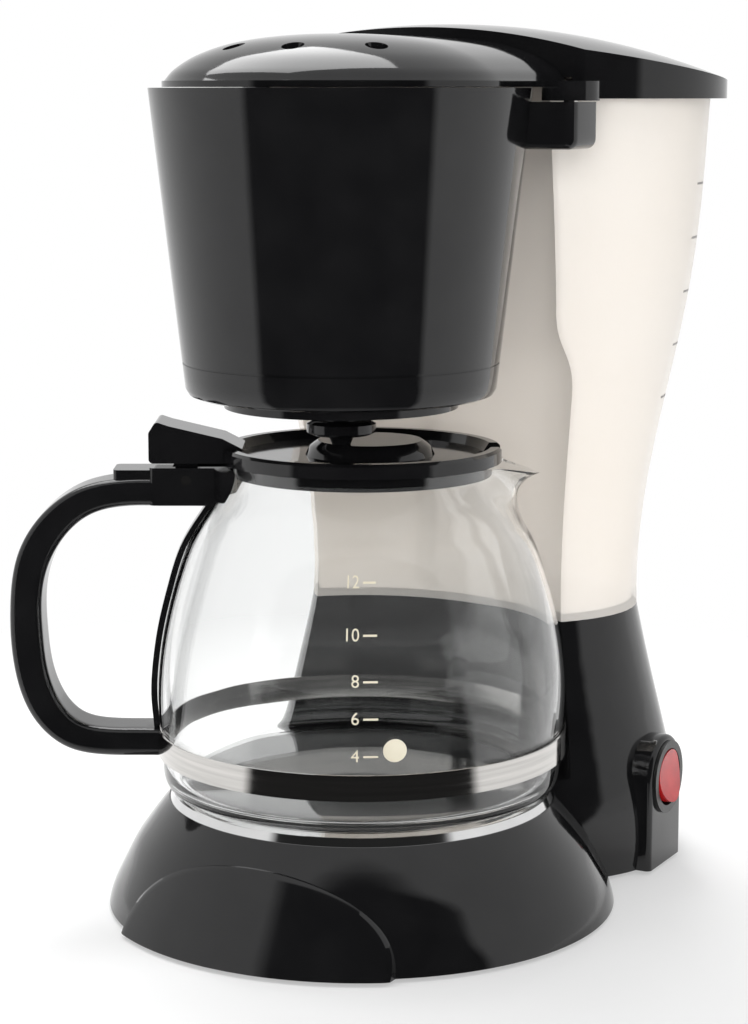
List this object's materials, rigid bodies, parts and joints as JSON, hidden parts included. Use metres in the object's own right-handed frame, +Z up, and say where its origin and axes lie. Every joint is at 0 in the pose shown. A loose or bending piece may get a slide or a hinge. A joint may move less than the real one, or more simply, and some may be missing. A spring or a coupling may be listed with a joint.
{
  "type": "drip coffee maker",
  "caption": "Drip coffee maker with a round hot plate, rear water tank, swing-out filter holder, drip stop and a glass jug with handle and lid.",
  "frame": {"origin": "on the floor below the centre of the hot plate", "axes": "+Z up, -Y to the front, +X to the right side with the switch"},
  "size_m": [0.2096, 0.276, 0.316],
  "materials": {
    "black_gloss": "glossy",
    "black_satin": "satin",
    "milky": "frosted translucent",
    "glass": "clear",
    "steel": "satin",
    "chrome": "bright",
    "alu": "cast",
    "rubber": "matt",
    "silicone": "matt",
    "red": "translucent",
    "dark_plate": "satin",
    "brass": "plain",
    "natural": "natural"
  },
  "bodies": {
    "machine": {"base_housing": "black_gloss", "front_badge": "black_gloss", "bottom_cover": "black_satin", "rubber_feet": "rubber", "cover_screws": "steel", "hot_plate": "dark_plate", "hot_plate_trim": "chrome", "heater": "alu", "heater_bracket": "steel", "thermostat": "alu", "thermal_fuse": "natural", "inlet_hose": "silicone", "outlet_hose": "silicone", "hose_clamps": "steel", "check_valve": "natural", "riser_tube": "natural", "water_tank": "milky", "tank_grommets": "silicone", "tank_lid_pin": "steel", "head_bridge": "black_gloss", "spray_head": "black_satin", "brew_cover": "black_gloss", "holder_pin": "steel", "switch_body": "black_satin", "switch_pin": "steel", "switch_terminals": "brass", "cord_gland": "black_satin"},
    "tank_lid": {"tank_lid": "black_gloss"},
    "holder": {"filter_holder": "black_gloss", "filter_basket": "black_satin", "drip_spring": "steel"},
    "drip_valve": {"drip_plunger": "black_gloss", "drip_seal": "silicone"},
    "switch": {"switch_rocker": "red"},
    "ball": {"check_ball": "steel"},
    "jug": {"jug_glass": "glass", "jug_band": "steel", "jug_handle": "black_gloss", "handle_screw": "steel", "jug_lid_pin": "steel"},
    "jug_lid": {"jug_lid": "black_gloss"}
  },
  "joints": [
    {"name": "jug_slide", "type": "slide", "parent": "machine", "child": "jug", "axis": [0, -1, 0], "range_m": [0, 0.26]},
    {"name": "jug_lid_hinge", "type": "hinge", "parent": "jug", "child": "jug_lid", "pos_m": [-0.05474, -0.02911, 0.156], "axis": [0.4695, -0.8829, 0], "range_deg": [0, 5]},
    {"name": "holder_swing", "type": "hinge", "parent": "machine", "child": "holder", "pos_m": [0.071, 0.019, 0.28], "axis": [0, 0, 1], "range_deg": [0, 100]},
    {"name": "drip_valve_lift", "type": "slide", "parent": "holder", "child": "drip_valve", "axis": [0, 0, 1], "range_m": [0, 0.0054], "deforming": ["drip_spring"]},
    {"name": "tank_lid_hinge", "type": "hinge", "parent": "machine", "child": "tank_lid", "pos_m": [0, 0.176, 0.285], "axis": [-1, 0, 0], "range_deg": [0, 100]},
    {"name": "switch_tilt", "type": "hinge", "parent": "machine", "child": "switch", "pos_m": [0.0805, 0.088, 0.035], "axis": [0, 1, 0], "range_deg": [0, 12]},
    {"name": "check_ball_lift", "type": "slide", "parent": "machine", "child": "ball", "axis": [0, 0, 1], "range_m": [0, 0.002]}
  ],
  "couplings": [
    {"joint": "drip_valve_lift", "follows": "jug_lid_hinge", "m_per_rad": 0.0595}
  ]
}
